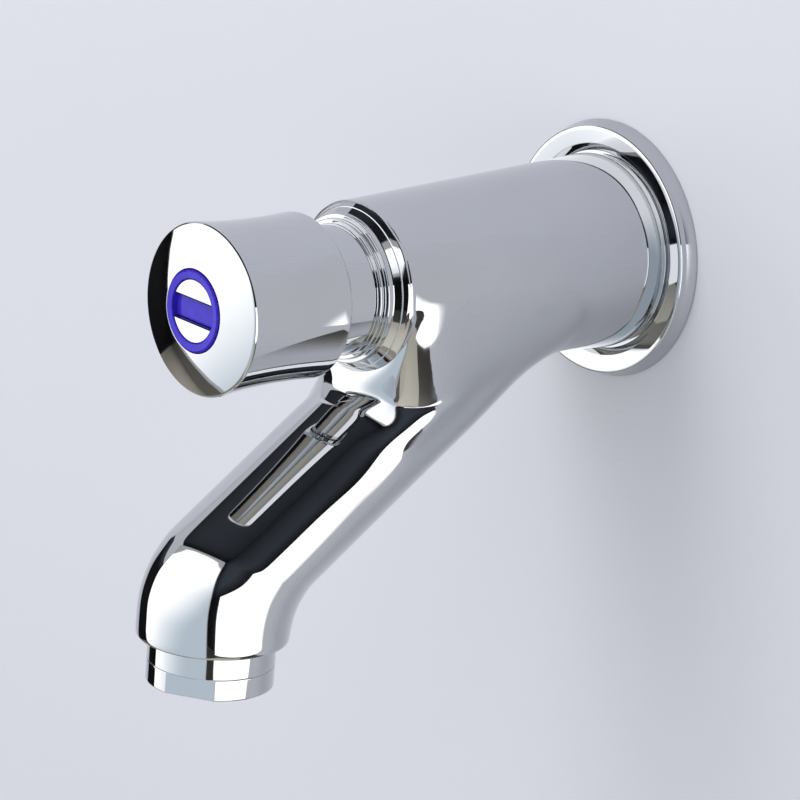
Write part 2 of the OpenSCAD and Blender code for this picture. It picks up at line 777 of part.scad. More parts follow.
base_front = dial_back + dial_base_t;
dial_ring_t = 0.9;

// Cross pin through the dial's shank and the needle, or the hole for it
module key_bar(d, long) {
    translate([0, -key_p, 0])
        rotate([0, 90, 0])
            cylinder(d = d, h = long, center = true);
}

module timing_dial() color(chrome) {
    groove_half = dial_ring_t / 2 + seat_clear;
    mid = dial_back + dial_base_t / 2;
    difference() {
        union() {
            rod(dial_r, dial_back, base_front);
            rod(land_d / 2, base_front - eps, dial_front);
            rod(stem_bore_d / 2 - run_clear, dial_back - shank_len, dial_back + eps);
        }
        tube(dial_r + 1, recess_r - dial_ring_t, mid - groove_half, mid + groove_half);
        translate([-dial_r, -dial_front - 1, -bar_w / 2])
            cube([2 * dial_r, dial_front - base_front + 1, bar_w]);
        rod(needle_d / 2 + run_clear, dial_back - shank_len - 1, dial_back);
        key_bar(key_pin_d, stem_d);
    }
}

module index_insert() color(index_blue) {
    bar_half = bar_w / 2 - seat_clear;
    tube(dial_r, land_d / 2 + seat_clear, base_front, dial_front);
    intersection() {
        rod(land_d / 2 + 2 * seat_clear, base_front, dial_front - bar_deep);
        translate([-dial_r, -dial_front, -bar_half])
            cube([2 * dial_r, dial_t, 2 * bar_half]);
    }
}

module dial_o_ring() color(rubber)
    o_ring(recess_r - dial_ring_t / 2, dial_ring_t - seat_clear, dial_back + dial_base_t / 2);

// The groove is cut round a smaller circle beside the axis, so the bleed hole opens as the needle turns
module timing_needle() color(steel) {
    r = needle_d / 2;
    tip = orifice_front + free_clear;
    head = dial_back - free_clear;
    least_deep = 0.04;
    core_r = r - (groove_deep + least_deep) / 2;
    off_centre = (groove_deep - least_deep) / 2;
    groove_back = bleed_p - bleed_r - free_clear / 2;
    groove_front = bleed_p + bleed_r + free_clear / 2;
    difference() {
        turned([
            [0, tip], [r - edge_break / 2, tip], [r, tip + edge_break / 2], [r, head], [0, head]
        ]);
        difference() {
            rod(2 * r, groove_back, groove_front);
            translate([-off_centre, 0, 0])
                rod(core_r, groove_back - 1, groove_front + 1);
        }
        translate([r - groove_deep, -groove_front, -r])
            cube([r, groove_front - tip + 1, 2 * r]);
        key_bar(key_pin_d, stem_d);
    }
}

module needle_key_pin() color(steel)
    key_bar(key_pin_d - seat_clear, stem_bore_d - 2 * run_clear - 4 * seat_clear);

module needle_o_ring() color(rubber) {
    room = (stem_bore_d - needle_d) / 2;
    o_ring(needle_d / 2 + room / 2, room - 2 * seat_clear, needle_seal_p);
}

body_casting();
wall_flange();
flange_gasket();
inlet_nipple();
inlet_strainer();
bonnet();
bonnet_o_ring();
cartridge_sleeve();
sleeve_o_ring();
valve_seat();
return_spring();
guide_bush();
stem_seal();
gland_circlip();
aerator_housing();
aerator_washer();
aerator_insert();
aerator_screen();
button_cap();
button_stem();
cap_nut();
piston();
piston_seal();
piston_clip();
valve_disc();
valve_washer();
valve_nut();
timing_dial();
index_insert();
dial_o_ring();
timing_needle();
needle_key_pin();
needle_o_ring();
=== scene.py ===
# %% [markdown]
# # A push tap for a wall, in polished chrome
# The tap is a tapered barrel on a round wall plate. A spout slopes out from under it, and a big round
# button with a blue index sits on its front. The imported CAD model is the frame: every piece here is
# made in the same metres and the same place, so nothing has to be fitted afterwards.

# %% Load the frame
import json
from math import atan2, cos, degrees, hypot, pi, radians, sin, sqrt, tan
import bmesh
import bpy
from mathutils import Matrix, Vector


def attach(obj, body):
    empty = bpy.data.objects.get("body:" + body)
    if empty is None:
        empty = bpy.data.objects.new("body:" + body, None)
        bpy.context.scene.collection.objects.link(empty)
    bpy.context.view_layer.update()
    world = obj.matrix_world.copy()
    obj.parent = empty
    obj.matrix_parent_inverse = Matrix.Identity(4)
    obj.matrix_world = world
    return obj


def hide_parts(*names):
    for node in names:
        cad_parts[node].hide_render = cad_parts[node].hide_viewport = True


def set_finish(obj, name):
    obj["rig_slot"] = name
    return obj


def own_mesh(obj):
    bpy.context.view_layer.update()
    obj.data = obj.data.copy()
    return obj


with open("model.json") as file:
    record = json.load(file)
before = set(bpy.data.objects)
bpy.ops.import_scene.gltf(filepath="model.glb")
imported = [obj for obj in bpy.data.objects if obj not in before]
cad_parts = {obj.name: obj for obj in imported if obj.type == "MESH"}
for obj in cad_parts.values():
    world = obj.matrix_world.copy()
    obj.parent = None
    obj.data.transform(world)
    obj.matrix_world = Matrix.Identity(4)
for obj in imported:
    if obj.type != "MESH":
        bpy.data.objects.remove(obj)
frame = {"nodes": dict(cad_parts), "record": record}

scene = bpy.context.scene
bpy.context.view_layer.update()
MM = 0.001

# %% [markdown]
# ## The camera
# The photograph was taken with a long lens from the right and a little above, with a slight roll.
# A camera could be turned by hand until it looks right; here its place was worked out from the round
# edges of the tap, so it is written down as angles, a distance and a lens.

# %% Camera
AZIMUTH, ELEVATION, ROLL = radians(48.58), radians(16.84), radians(4.36)
DISTANCE, SLIDE_RIGHT, SLIDE_UP = 843.07, 6.86, -2.52
LOOKED_AT = Vector((0, -60, -20))
SENSOR_MM, FOCAL_PIXELS, PICTURE_PIXELS = 36, 4500.8, 800
back = Vector((sin(AZIMUTH) * cos(ELEVATION), -cos(AZIMUTH) * cos(ELEVATION), sin(ELEVATION)))
level_right = (-back).cross(Vector((0, 0, 1))).normalized()
level_up = level_right.cross(-back)
right = cos(ROLL) * level_right + sin(ROLL) * level_up
up = cos(ROLL) * level_up - sin(ROLL) * level_right
eye = LOOKED_AT + back * DISTANCE + right * SLIDE_RIGHT + up * SLIDE_UP

camera = bpy.data.objects.new("camera", bpy.data.cameras.new("camera"))
scene.collection.objects.link(camera)
camera.matrix_world = Matrix((
    (right.x, up.x, back.x, eye.x * MM),
    (right.y, up.y, back.y, eye.y * MM),
    (right.z, up.z, back.z, eye.z * MM),
    (0, 0, 0, 1)))
camera.data.sensor_width = SENSOR_MM
camera.data.lens = SENSOR_MM * FOCAL_PIXELS / PICTURE_PIXELS
camera.data.clip_start, camera.data.clip_end = 0.05, 20
scene.camera = camera
print("lens", round(camera.data.lens, 1), "mm")

# %% [markdown]
# ## Turned pieces
# Most of a tap is turned on a lathe, and Spin is Blender's lathe: an outline of (radius, projection from
# the wall) corners goes once round the barrel's axis. A cylinder with loop cuts would do as well, but the
# outline keeps the sizes in one place. Real edges are never knife sharp, so the corners are rounded with a
# vertex bevel before the spin; that thin rounding is what catches the light on chrome.

# %% Helpers for turned pieces
def keep_piece(name, bm, body, slot, *nodes, smooth=35):
    """Turn a bmesh into an object that rides on a body and stands for CAD nodes."""
    mesh = bpy.data.meshes.new(name)
    bm.to_mesh(mesh)
    bm.free()
    mesh.shade_smooth()
    mesh.set_sharp_from_angle(angle=radians(smooth))
    piece = bpy.data.objects.new(name, mesh)
    scene.collection.objects.link(piece)
    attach(piece, body)
    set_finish(piece, slot)
    if nodes:
        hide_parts(*nodes)
    print(name, len(mesh.polygons), "faces")
    return piece


def close_up(bm):
    """Merge what lies on the same spot and point the faces outwards."""
    bmesh.ops.remove_doubles(bm, verts=bm.verts, dist=1e-7)
    bmesh.ops.recalc_face_normals(bm, faces=bm.faces)


def add_in(bm, part):
    """Put one bmesh into another and free it."""
    mesh = bpy.data.meshes.new("part")
    part.to_mesh(mesh)
    part.free()
    bm.from_mesh(mesh)
    bpy.data.meshes.remove(mesh)


def spun(bm, verts, edges, steps):
    """Spin a wire once round the barrel's axis."""
    bmesh.ops.spin(bm, geom=list(verts) + list(edges), cent=(0, 0, 0), axis=(0, 1, 0),
                   angle=2 * pi, steps=steps, use_merge=True)


def hold(bm, gap=0.06, least=0.5, bend=5):
    """Put a point close to each end of a long edge that turns a corner, so a flat band is shaded flat."""
    bends = {}
    for v in bm.verts:
        a, b = (e.other_vert(v).co - v.co for e in v.link_edges)
        bends[v] = degrees(pi - a.angle(b))
    for edge in list(bm.edges):
        ends = [v for v in edge.verts if bends[v] > bend]
        if edge.calc_length() / MM > least:
            for v in ends:
                fraction = gap * MM / edge.calc_length()
                point = bmesh.utils.edge_split(edge, v, fraction)[1]
                edge = max(point.link_edges, key=lambda e: e.calc_length())


def turn(outline, roundings=(), steps=128, segments=4):
    """Spin a closed outline of (radius, projection) corners, in mm. Roundings are (size, corner numbers)."""
    bm = bmesh.new()
    corners = [bm.verts.new((r * MM, -p * MM, 0)) for r, p in outline]
    for a, b in zip(corners, corners[1:] + corners[:1]):
        bm.edges.new((a, b))
    for size, picks in roundings:
        bmesh.ops.bevel(bm, geom=[corners[i] for i in picks], offset=size * MM, offset_type="OFFSET",
                        affect="VERTICES", segments=segments, profile=0.5, material=-1)
    hold(bm)
    spun(bm, bm.verts, bm.edges, steps)
    close_up(bm)
    return bm


# %% [markdown]
# ## The casting
# Barrel and spout are one hollow brass casting, polished and plated, so one flows into the other with no
# seam. A boolean would leave a hard crease there. A subdivision surface over a coarse cage gives the soft
# blend: the barrel is spun with sixteen sides, a hole is opened in its underside, and the hole's edge is
# extruded ring by ring down the spout. A smoothed cage shrinks, so the cage is moved out first until its
# smooth surface runs through the places that were asked for.

# %% Sizes of the casting, in mm, as in the CAD model
BARREL_BACK, RIM_START = 3.0, 63.8
BACK_R, FRONT_R = 18.95, 16.15
SLOPE = radians(34.75)
ROOT, HALF_W, HALF_H = 15.6, 13.8, 12.15
OUTLET, LIP_R, LIP_ROUND = 92.5, 14.36, 0.9
BEND_R, NOSE_LEAN = 20.0, radians(8)
BEND_END_Z, LIP_Z, OUTLET_Z = -59.0, -62.9, -63.8
SIDES = 16


def angle_of(k):
    """Angle of the spout's k-th line; 0 is at +X and 4 on the top."""
    return 2 * pi * k / SIDES


def barrel_r(p):
    return BACK_R + (FRONT_R - BACK_R) * (p - BARREL_BACK) / (RIM_START - BARREL_BACK)


def on_barrel(p, turn_deg, r=None):
    """Place on the barrel, by projection and degrees from its underside."""
    a, r = radians(turn_deg), r or barrel_r(p)
    return Vector((r * sin(a), -p, -r * cos(a)))


def on_spout(t, a):
    """Place on the spout's straight run, by distance along its axis and angle round it."""
    h = HALF_H * sin(a)
    p = ROOT + t * cos(SLOPE) + h * sin(SLOPE)
    return Vector((HALF_W * cos(a), -p, -t * sin(SLOPE) + h * cos(SLOPE)))


def leaves_barrel(a):
    """Distance along the spout's axis at which this line of the spout comes out of the barrel.

    The barrel tapers, so a first guess is bettered step by step."""
    t, tries = 30.0, 30
    for _ in range(tries):
        at = on_spout(t, a)
        t = (sqrt(barrel_r(-at.y) ** 2 - at.x ** 2) + HALF_H * sin(a) * cos(SLOPE)) / sin(SLOPE)
    return t


# %% The barrel's cage with a hole for the spout
ROWS = [17.0, 26.0, 36.0, 48.0, 62.6]
COLUMN = 360 / SIDES
OUTER_SKIN = 15
stations = [(10.3, 12), (10.3, 7), (10.3, 3.2), (10.9, 3), (17.6, 3), (18.5, 3.1), (18.93, 3.6)]
stations += [(barrel_r(p), p) for p in [9] + ROWS]
stations += [(15.9, 63.5), (15.0, 63.7), (14.2, 63.7), (13.6, 63.5), (13.5, 62.6), (13.5, 40), (13.5, 13),
             (13.3, 12)]
body = bmesh.new()
wire = [body.verts.new((0, -p * MM, -r * MM)) for r, p in stations]
loop = [body.edges.new(pair) for pair in zip(wire, wire[1:] + wire[:1])]
spun(body, wire, loop, SIDES)
close_up(body)


def nearest(place):
    return min(body.verts, key=lambda v: (v.co - place * MM).length_squared)


def hole_corner(k):
    """Row and degrees from the underside of the k-th place round the hole; 0 is +X and 4 the throat."""
    k = k % SIDES
    side = 1 if k <= 4 or k >= 12 else -1
    m = k if k <= 4 else 8 - k if k < 12 else k - 16
    if m >= 2:
        return ROWS[4], side * COLUMN * (4 - m)
    if m <= -2:
        return ROWS[0], side * COLUMN * (m + 4)
    return ROWS[2 + m], side * COLUMN * 2


def over_spout(face):
    at = face.calc_center_median() / MM
    return ROWS[0] < -at.y < ROWS[4] and abs(at.x) < -at.z and hypot(at.x, at.z) > OUTER_SKIN


hole = [nearest(on_barrel(*hole_corner(k))) for k in range(SIDES)]
inside = [f for f in body.faces if over_spout(f)]
flanks = [(nearest(on_barrel(p, side * COLUMN * c)), p, side * COLUMN * c)
          for p in ROWS for c in (3, 4, 5) for side in (1, -1)]
print("hole", len({v.index for v in hole}), "places,", len(inside), "faces opened")
bmesh.ops.delete(body, geom=inside, context="FACES")

# %% [markdown]
# The hole follows the line where the two shapes meet, moved outwards to leave room for the blend. Its front
# edge is given as (projection, degrees from the underside, radius), because the web between barrel and spout
# starts there. The barrel's columns beside the hole move up and back to make room.

# %% Shape the edge of the hole
HOLE_MIDDLE = 38
SPREAD = [8.0, 8.0, 6.5, 4.0, 3.0, 4.0, 6.5, 8.0, 8.0, 7.0, 5.0, 3.6, 3.2, 3.6, 5.0, 7.0]
FRONT_EDGE = {4: (64.4, 0, 16.0), 3: (63.7, 38, 16.1), 2: (62.0, 74, None), 1: (46.0, 80, None)}
PUSHED = {ROWS[0]: (0.3, -0.5), ROWS[1]: (0.8, -2.0), ROWS[2]: (1.1, -3.0), ROWS[3]: (1.2, -2.5),
          ROWS[4]: (1.0, 0)}
NEXT_COLUMN, UP_SHARE = 112.5, 0.20
for k, v in enumerate(hole):
    a = angle_of(k)
    meet = on_spout(leaves_barrel(a), a)
    p, wide = -meet.y - HOLE_MIDDLE, barrel_r(-meet.y) * atan2(meet.x, -meet.z)
    grow = 1 + SPREAD[k] / hypot(p, wide)
    p, wide = HOLE_MIDDLE + p * grow, wide * grow
    v.co = on_barrel(p, degrees(wide / barrel_r(p))) * MM
for k, (p, at, r) in FRONT_EDGE.items():
    hole[k].co = on_barrel(p, at, r) * MM
    hole[8 - k].co = on_barrel(p, -at, r) * MM
for v, p, at in flanks:
    share, along = PUSHED[p]
    room = 180 - abs(at)
    nearness = room / NEXT_COLUMN
    moved = 180 - room * (1 - share * UP_SHARE * nearness)
    v.co = on_barrel(p + along * nearness ** 2, moved if at > 0 else -moved) * MM
front_place, side_place = ([round(c / MM, 1) for c in hole[k].co] for k in (4, 0))
print("front of the hole", front_place, "side", side_place)

# %% [markdown]
# The spout's outline in side view is a straight run, then a bend over the nose and a tighter one under it.
# Each ring of the spout joins a top point to an underside point with half an ellipse on either side. The
# first rings are moved at the throat and pushed out beside it, for the flat web and its shoulders.

# %% Rings of the spout
def ring(top, under, half_w):
    """Sixteen places round an oval between a top and an underside (projection, height)."""
    places = []
    for k in range(SIDES):
        a = angle_of(k)
        share = (1 + sin(a)) / 2
        p, z = (u + (t - u) * share for t, u in zip(top, under))
        places.append(Vector((half_w * cos(a), -p, z)))
    return places


def top_turn(share):
    """Point on the top outline from the start of the bend to the lip."""
    bend_len, drop = BEND_R * (pi / 2 - SLOPE), BEND_END_Z - LIP_Z
    s = share * (bend_len + drop)
    if s > bend_len:
        return OUTLET + LIP_R, BEND_END_Z - (s - bend_len)
    a = SLOPE + s / BEND_R
    return OUTLET + LIP_R - BEND_R + BEND_R * sin(a), BEND_END_Z + BEND_R * cos(a)


def under_turn(share):
    """Point on the underside's outline from the start of its bend to the lip."""
    nose_back, lean = OUTLET - LIP_R, pi / 2 - NOSE_LEAN - SLOPE
    line_z = -HALF_H / cos(SLOPE) - (nose_back - ROOT) * tan(SLOPE)
    r = (line_z - LIP_Z) * cos(SLOPE) / (1 - cos(lean))
    a = SLOPE + lean * share
    return (nose_back - r * cos(NOSE_LEAN) + r * sin(a), LIP_Z - r * sin(NOSE_LEAN) + r * cos(a))


def lip(r, z):
    return ring((OUTLET + r, z), (OUTLET - r, z), r)


def edges_round(corners):
    return [body.edges.get((corners[k], corners[(k + 1) % SIDES])) for k in range(SIDES)]


RUN_START, START_SPREAD, BEND_STEPS = 58.0, 1.15, 6
THROAT = [(65.2, -19.2), (66.7, -20.9), (68.4, -22.0)]
BESIDE_THROAT = Vector((0, -1.4, 0.6))
SHOULDER = {1: ((2.2, 1.5), (2.4, 0.4), (1.7, 0)), 2: ((4.4, 3.0), (1.8, 0.8), (0.3, 0)),
            3: ((3.0, 0.5), (1.3, 0.2), (0.2, 0))}
rings = []
starts = [leaves_barrel(angle_of(k)) + SPREAD[k] * START_SPREAD for k in range(SIDES)]
for share in (0, 1 / 3, 2 / 3, 1):
    rings.append([on_spout(t + (RUN_START - t) * share, angle_of(k)) for k, t in enumerate(starts)])
for row, (p, z) in enumerate(THROAT):
    rings[row][4] = Vector((0, -p, z))
for k in (3, 5):
    rings[0][k] += BESIDE_THROAT
for k, pushes in SHOULDER.items():
    for row, (out, ahead) in enumerate(pushes):
        rings[row][k] += Vector((out, -ahead, 0))
        rings[row][8 - k] += Vector((-out, -ahead, 0))
first_bend = ring(top_turn(0), under_turn(0), HALF_W)
for share in (1 / 3, 2 / 3):
    rings.append([a.lerp(b, share) for a, b in zip(rings[3], first_bend)])
for i in range(BEND_STEPS + 1):
    share = i / BEND_STEPS
    widen = share * share * (3 - 2 * share)
    rings.append(ring(top_turn(share), under_turn(share), HALF_W + (LIP_R - HALF_W) * widen))
rings += [lip(LIP_R - LIP_ROUND * (1 - cos(a)), LIP_Z - LIP_ROUND * sin(a)) for a in (pi / 4, pi / 2)]
rings += [lip(12.5, OUTLET_Z), lip(12.1, OUTLET_Z + 0.1), lip(12.05, OUTLET_Z + 0.8), lip(12.05, -55.2),
          lip(12.0, -54.5), lip(11.0, -54.4)]

edge = edges_round(hole)
for places in rings:
    grown = bmesh.ops.extrude_edge_only(body, edges=edge)["geom"]
    fresh = {v for v in grown if isinstance(v, bmesh.types.BMVert)}
    hole = [next(e.other_vert(v) for e in v.link_edges if e.other_vert(v) in fresh) for v in hole]
    for v, place in zip(hole, places):
        v.co = place * MM
    edge = edges_round(hole)
bmesh.ops.contextual_create(body, geom=edge)
close_up(body)
print("cage", len(body.faces), "faces, open edges", sum(not e.is_manifold for e in body.edges))


# %% Let the smooth surface run through the cage's places
def settle(bm, rounds):
    """Move a cage until its limit surface passes through the places its points have now."""
    goal = {v: v.co.copy() for v in bm.verts}
    free = [v for v in bm.verts if all(len(f.verts) == 4 for f in v.link_faces)]
    for _ in range(rounds):
        shift = {}
        for v in free:
            n = len(v.link_edges)
            near = sum((e.other_vert(v).co for e in v.link_edges), Vector())
            far = sum((l.link_loop_next.link_loop_next.vert.co for l in v.link_loops), Vector())
            shift[v] = goal[v] - (n * n * v.co + 4 * near + far) / (n * (n + 5))
        for v, by in shift.items():
            v.co += by
    print("settled within", round(max(by.length for by in shift.values()) / MM, 4), "mm")


settle(body, rounds=12)

# %% [markdown]
# The rim round the barrel's front has to stay crisp, which a soft cage can't give, so it is turned as a
# ring of its own and joined to the smoothed casting in one mesh.

# %% Smooth the casting and add its rim
def smoothed(bm, levels):
    """Subdivide a cage with the Subdivision Surface modifier and give back the result."""
    mesh = bpy.data.meshes.new("cage")
    bm.to_mesh(mesh)
    bm.free()
    cage = bpy.data.objects.new("cage", mesh)
    scene.collection.objects.link(cage)
    mod = cage.modifiers.new("smooth", "SUBSURF")
    mod.levels = mod.render_levels = levels
    done = bpy.data.meshes.new_from_object(cage.evaluated_get(bpy.context.evaluated_depsgraph_get()))
    bpy.data.objects.remove(cage)
    out = bmesh.new()
    out.from_mesh(done)
    bpy.data.meshes.remove(done)
    return out


body = smoothed(body, levels=3)
rim = turn([(13.52, 61), (15.9, 61), (16.2, 62.9), (16.18, 63.75), (15.05, 65.0), (13.52, 65.0)],
           [(0.3, (3,)), (0.12, (4, 5))], segments=6)
add_in(body, rim)
body_casting = keep_piece("casting", body, "tap_body", "chrome", "body_casting", smooth=60)

# %% [markdown]
# ## The wall plate
# A pressed dish hides the hole in the wall. The barrel stands on its flat middle, a groove runs round the
# barrel, and from there the dish rises in two slopes to a rounded rim. The spin gives all of it in one go.

# %% Wall plate and the soft ring behind it
PLATE = [(10.8, 1.8), (10.8, 3.0), (18.3, 3.0), (18.6, 2.15), (19.3, 2.05), (20.75, 2.9), (23.55, 3.45),
         (24.2, 3.35), (24.45, 2.3), (25.18, 0.4), (25.18, 0.0), (24.3, 0.0), (23.5, 2.2), (20.9, 1.7),
         (19.6, 1.0), (19.2, 1.0), (19.0, 1.8)]
PLATE_ROUNDINGS = [(0.1, (3, 4)), (0.25, (6, 7)), (0.2, (8,)), (0.12, (9, 10))]
wall_plate = turn(PLATE, PLATE_ROUNDINGS, segments=6)
wall_plate = keep_piece("wall_plate", wall_plate, "tap_body", "chrome", "wall_flange")
soft_ring = turn([(10.8, 0.0), (18.9, 0.0), (18.9, 1.8), (10.8, 1.8)], [(0.3, (0, 1, 2, 3))])
soft_ring = keep_piece("soft_ring", soft_ring, "tap_body", "rubber", "flange_gasket")

# %% [markdown]
# ## The neck and its stepped collar
# The bonnet screws into the barrel's front. Three fine steps lead down to the neck that the button slides
# over; in chrome each step shows as a pair of bright and dark lines.

# %% Bonnet
BONNET = [(4.06, 49.5), (13.45, 49.5), (13.45, 63.0), (12.1, 63.0), (12.1, 64.4), (13.45, 64.4),
          (13.45, 65.0), (14.95, 65.0), (14.95, 65.1), (13.97, 66.2), (13.97, 67.4), (13.13, 67.4),
          (13.13, 68.6), (12.3, 68.6), (12.3, 84.0), (8.0, 84.0), (8.0, 67.0), (8.5, 67.0), (8.5, 66.0),
          (8.0, 66.0), (8.0, 58.0), (4.06, 58.0), (4.06, 54.85), (6.16, 54.85), (6.16, 52.65),
          (4.06, 52.65)]
bonnet = turn(BONNET, [(0.2, (10, 12)), (0.12, (9, 11, 13)), (0.4, (14, 15))])
bonnet = keep_piece("bonnet", bonnet, "tap_body", "chrome", "bonnet")

# %% [markdown]
# ## The push button
# A thick chrome cap with a slightly waisted side and a shallow dome. Its side is a row of outline points
# along a curve; the dome is part of a large ball.

# %% Button
RIM_R, RIM_P, DOME_P = 16.12, 100.1, 102.3
DOME_R = (RIM_R ** 2 + (DOME_P - RIM_P) ** 2) / (2 * (DOME_P - RIM_P))
SIDE_R, SIDE_P, WAIST, SIDE_STEPS = 15.5, 77.5, 0.5, 16


def dome(r):
    return DOME_P - (DOME_R - sqrt(DOME_R ** 2 - r * r))


shares = [i / SIDE_STEPS for i in range(SIDE_STEPS + 1)]
side = [(SIDE_R + (RIM_R - SIDE_R) * s - 4 * WAIST * s * (1 - s), SIDE_P + (RIM_P - SIDE_P) * s)
        for s in shares]
face = [(r, dome(r)) for r in (14.6, 13, 11, 9.5, 8.4, 7.78)]
hollow = [(7.76, 101.2), (7.76, 94.0), (3.45, 94.0), (3.45, 91.8), (9.36, 91.8), (9.36, 97.6),
          (12.82, 97.6), (12.82, 77.1)]
BUTTON_ROUNDINGS = [(0.2, (0, 1)), (0.5, (17,)), (0.12, (23,)), (0.3, (30, 31))]
button = turn([(15.2, 77.1)] + side + face + hollow, BUTTON_ROUNDINGS, segments=6)
button = keep_piece("button", button, "push_button", "chrome", "button_cap")

# %% [markdown]
# ## The dial and its blue index
# Two chrome lands stand either side of a slot that a coin or a key can turn. A blue moulding lies in the
# slot and round the lands, and its outer edge is finely milled. The lands are slices of a disc, cut with
# Bisect and extruded.

# %% Dial
def whole(bm):
    return bm.verts[:] + bm.edges[:] + bm.faces[:]


def thicken(bm, height):
    """Extrude flat faces upwards by a height in mm."""
    grown = bmesh.ops.extrude_face_region(bm, geom=bm.faces[:])["geom"]
    bmesh.ops.translate(bm, verts=[v for v in grown if isinstance(v, bmesh.types.BMVert)],
                        vec=(0, 0, height * MM))
    close_up(bm)


def soften(bm, bend, size, segments, clamp=False):
    """Bevel the edges that turn by more than a bend, in radians, by a size in mm."""
    rims = [e for e in bm.edges if e.calc_face_angle(0) > bend]
    bmesh.ops.bevel(bm, geom=rims, offset=size * MM, offset_type="OFFSET", affect="EDGES",
                    segments=segments, profile=0.5, material=-1, clamp_overlap=clamp)


def slice_of_disc(bm, r, low, high, from_p, to_p, chamfer):
    """Slice of a disc between two heights, extruded between two projections, with chamfered edges."""
    part = bmesh.new()
    bmesh.ops.create_circle(part, cap_ends=True, radius=r * MM, segments=128)
    for height, keep in ((low, 1), (high, -1)):
        bmesh.ops.bisect_plane(part, geom=whole(part), dist=1e-9, plane_co=(0, height * MM, 0),
                               plane_no=(0, keep, 0), clear_inner=True)
    thicken(part, to_p - from_p)
    soften(part, 0.6, chamfer, segments=1)
    bmesh.ops.rotate(part, verts=part.verts, cent=(0, 0, 0), matrix=Matrix.Rotation(pi / 2, 3, "X"))
    bmesh.ops.translate(part, verts=part.verts, vec=(0, -from_p * MM, 0))
    add_in(bm, part)


DIAL = [(1.16, 89.6), (1.84, 89.6), (1.84, 97.6), (7.7, 97.6), (7.7, 98.05), (6.86, 98.05), (6.86, 98.95),
        (7.7, 98.95), (7.7, 99.4), (0.001, 99.4), (0.001, 97.5), (1.16, 97.5)]
LAND_R, SLOT_HALF, BEYOND = 5.9, 2.2, 7
LAND_BACK, LAND_FRONT, LAND_CHAMFER = 99.3, 101.85, 0.18
dial = turn(DIAL, steps=96)
for low, high in ((SLOT_HALF, BEYOND), (-BEYOND, -SLOT_HALF)):
    slice_of_disc(dial, LAND_R, low, high, LAND_BACK, LAND_FRONT, LAND_CHAMFER)
dial = keep_piece("dial", dial, "timing_dial", "chrome", "timing_dial")

# %% Blue index
MILL_STEPS, MILL_SHARE, MILL_FROM_P, MILL_FROM_R = 192, 0.975, 99.5, 7.3
BAR_R, BAR_HALF, BAR_BACK, BAR_FRONT, BAR_CHAMFER = 6.0, 2.15, 99.45, 100.98, 0.12
index = turn([(5.95, 99.45), (7.68, 99.45), (7.68, 101.9), (7.4, 102.2), (5.95, 102.1)],
             [(0.15, (3, 4))], steps=MILL_STEPS, segments=3)
for v in index.verts:
    if -v.co.y / MM > MILL_FROM_P and sqrt(v.co.x ** 2 + v.co.z ** 2) / MM > MILL_FROM_R:
        angle = pi + Vector((v.co.x, v.co.z)).angle_signed(Vector((1, 0)), 0)
        if round(angle * MILL_STEPS / (2 * pi)) % 2:
            v.co.x, v.co.z = v.co.x * MILL_SHARE, v.co.z * MILL_SHARE
slice_of_disc(index, BAR_R, -BAR_HALF, BAR_HALF, BAR_BACK, BAR_FRONT, BAR_CHAMFER)
index = keep_piece("index", index, "timing_dial", "index_blue", "index_insert")

# %% [markdown]
# ## The aerator
# A brass ring screws into the nose, and two flats on its lower edge take a spanner. The flats are cut from
# a disc with Bisect, its outline is bridged to a smaller circle for the bore, and the ring is extruded to
# its height. A line close to each end then keeps the straight side shaded flat.

# %% Aerator housing
HOUSING_R, FLAT_FROM_AXIS, EDGE_ROUND, HOLD_LINE = 12, 11, 0.12, 0.2
HOUSING_RINGS = ((-72.4, -68.4, 9.3, (32.3, 212.3)), (-68.4, -55.8, 10.2, ()))


def spanner_ring(low, high, bore, flats):
    """Upright ring between two heights, with a bore and with flats at the given turns."""
    part = bmesh.new()
    bmesh.ops.create_circle(part, cap_ends=True, radius=HOUSING_R * MM, segments=128)
    for turn_deg in flats:
        out = Vector((sin(radians(turn_deg)), -cos(radians(turn_deg)), 0))
        bmesh.ops.bisect_plane(part, geom=whole(part), dist=1e-9, plane_co=out * FLAT_FROM_AXIS * MM,
                               plane_no=-out, clear_inner=True)
    bmesh.ops.delete(part, geom=part.faces[:], context="FACES_ONLY")
    bmesh.ops.create_circle(part, cap_ends=False, radius=bore * MM, segments=128)
    bmesh.ops.bridge_loops(part, edges=part.edges[:])
    thicken(part, high - low)
    soften(part, 0.3, EDGE_ROUND, segments=2, clamp=True)
    for height in (HOLD_LINE, high - low - HOLD_LINE):
        bmesh.ops.bisect_plane(part, geom=whole(part), dist=1e-9, plane_co=(0, 0, height * MM),
                               plane_no=(0, 0, 1))
    bmesh.ops.translate(part, verts=part.verts, vec=(0, -OUTLET * MM, low * MM))
    return part


housing = bmesh.new()
for low, high, bore, flats in HOUSING_RINGS:
    part = spanner_ring(low, high, bore, flats)
    print("ring", len(part.faces), "faces, open edges", sum(not e.is_manifold for e in part.edges))
    add_in(housing, part)
housing = keep_piece("aerator_ring", housing, "tap_body", "chrome", "aerator_housing")

# %% [markdown]
# ## The inlet and the spring
# Behind the wall a threaded brass nipple takes the supply. A thread is a tooth spun along a screw line:
# Spin with a step along the axis makes it. The spring that closes the tap is the same move with a round
# wire.

